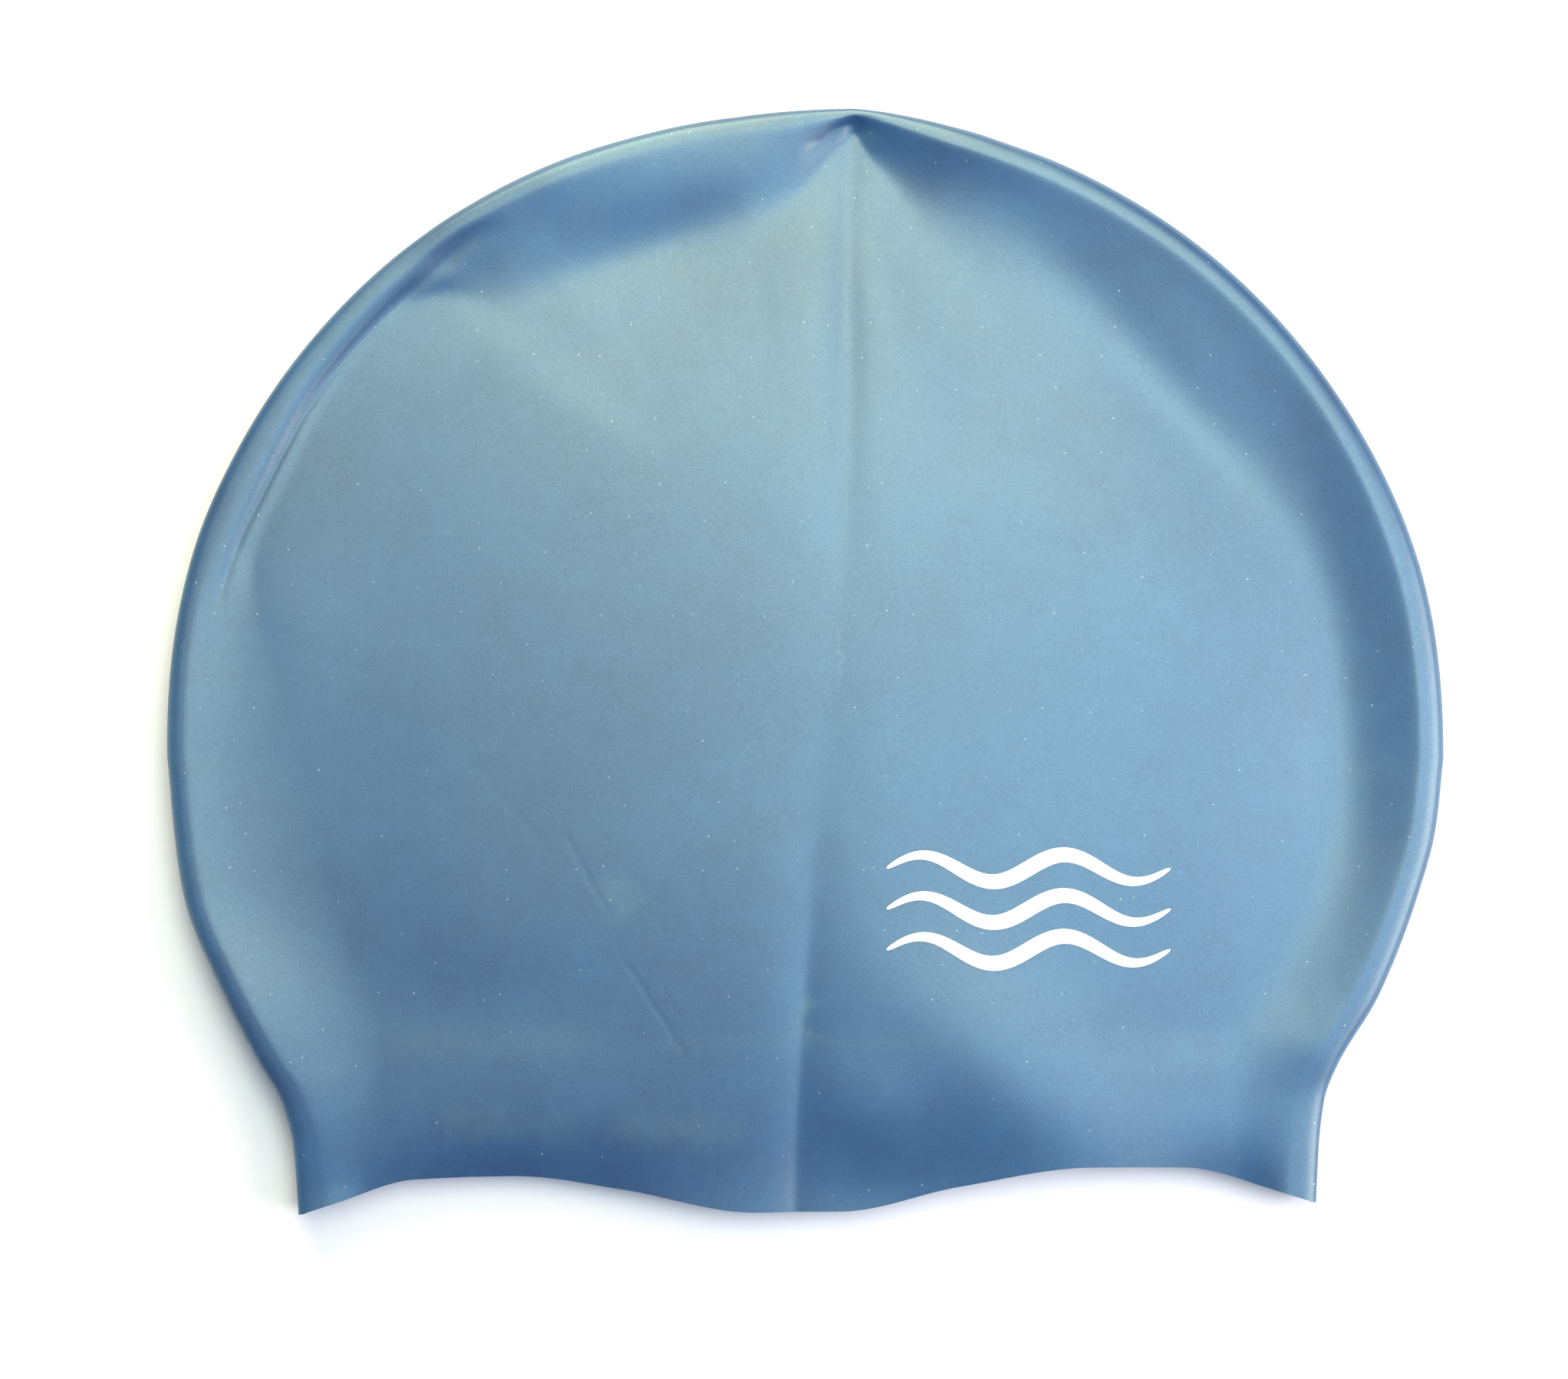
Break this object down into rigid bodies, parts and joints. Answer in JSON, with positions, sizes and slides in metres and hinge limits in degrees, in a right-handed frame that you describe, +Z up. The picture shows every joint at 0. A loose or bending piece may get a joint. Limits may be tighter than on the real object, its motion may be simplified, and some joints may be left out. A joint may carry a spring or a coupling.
{
  "type": "swim cap",
  "caption": "Moulded silicone swim cap lying flat: two thin walls joined by a rolled edge, an open wavy hem for the head, and a packing crease up the middle.",
  "frame": {"origin": "middle of the footprint, on the surface that the cap lies on", "axes": "+Z up from that surface, +Y from the hem to the crown, +X across the cap"},
  "size_m": [0.2201, 0.1909, 0.0119],
  "materials": {
    "silicone": "pearly satin, pale blue"
  },
  "bodies": {
    "root": {"cap_shell": "silicone"}
  },
  "joints": []
}
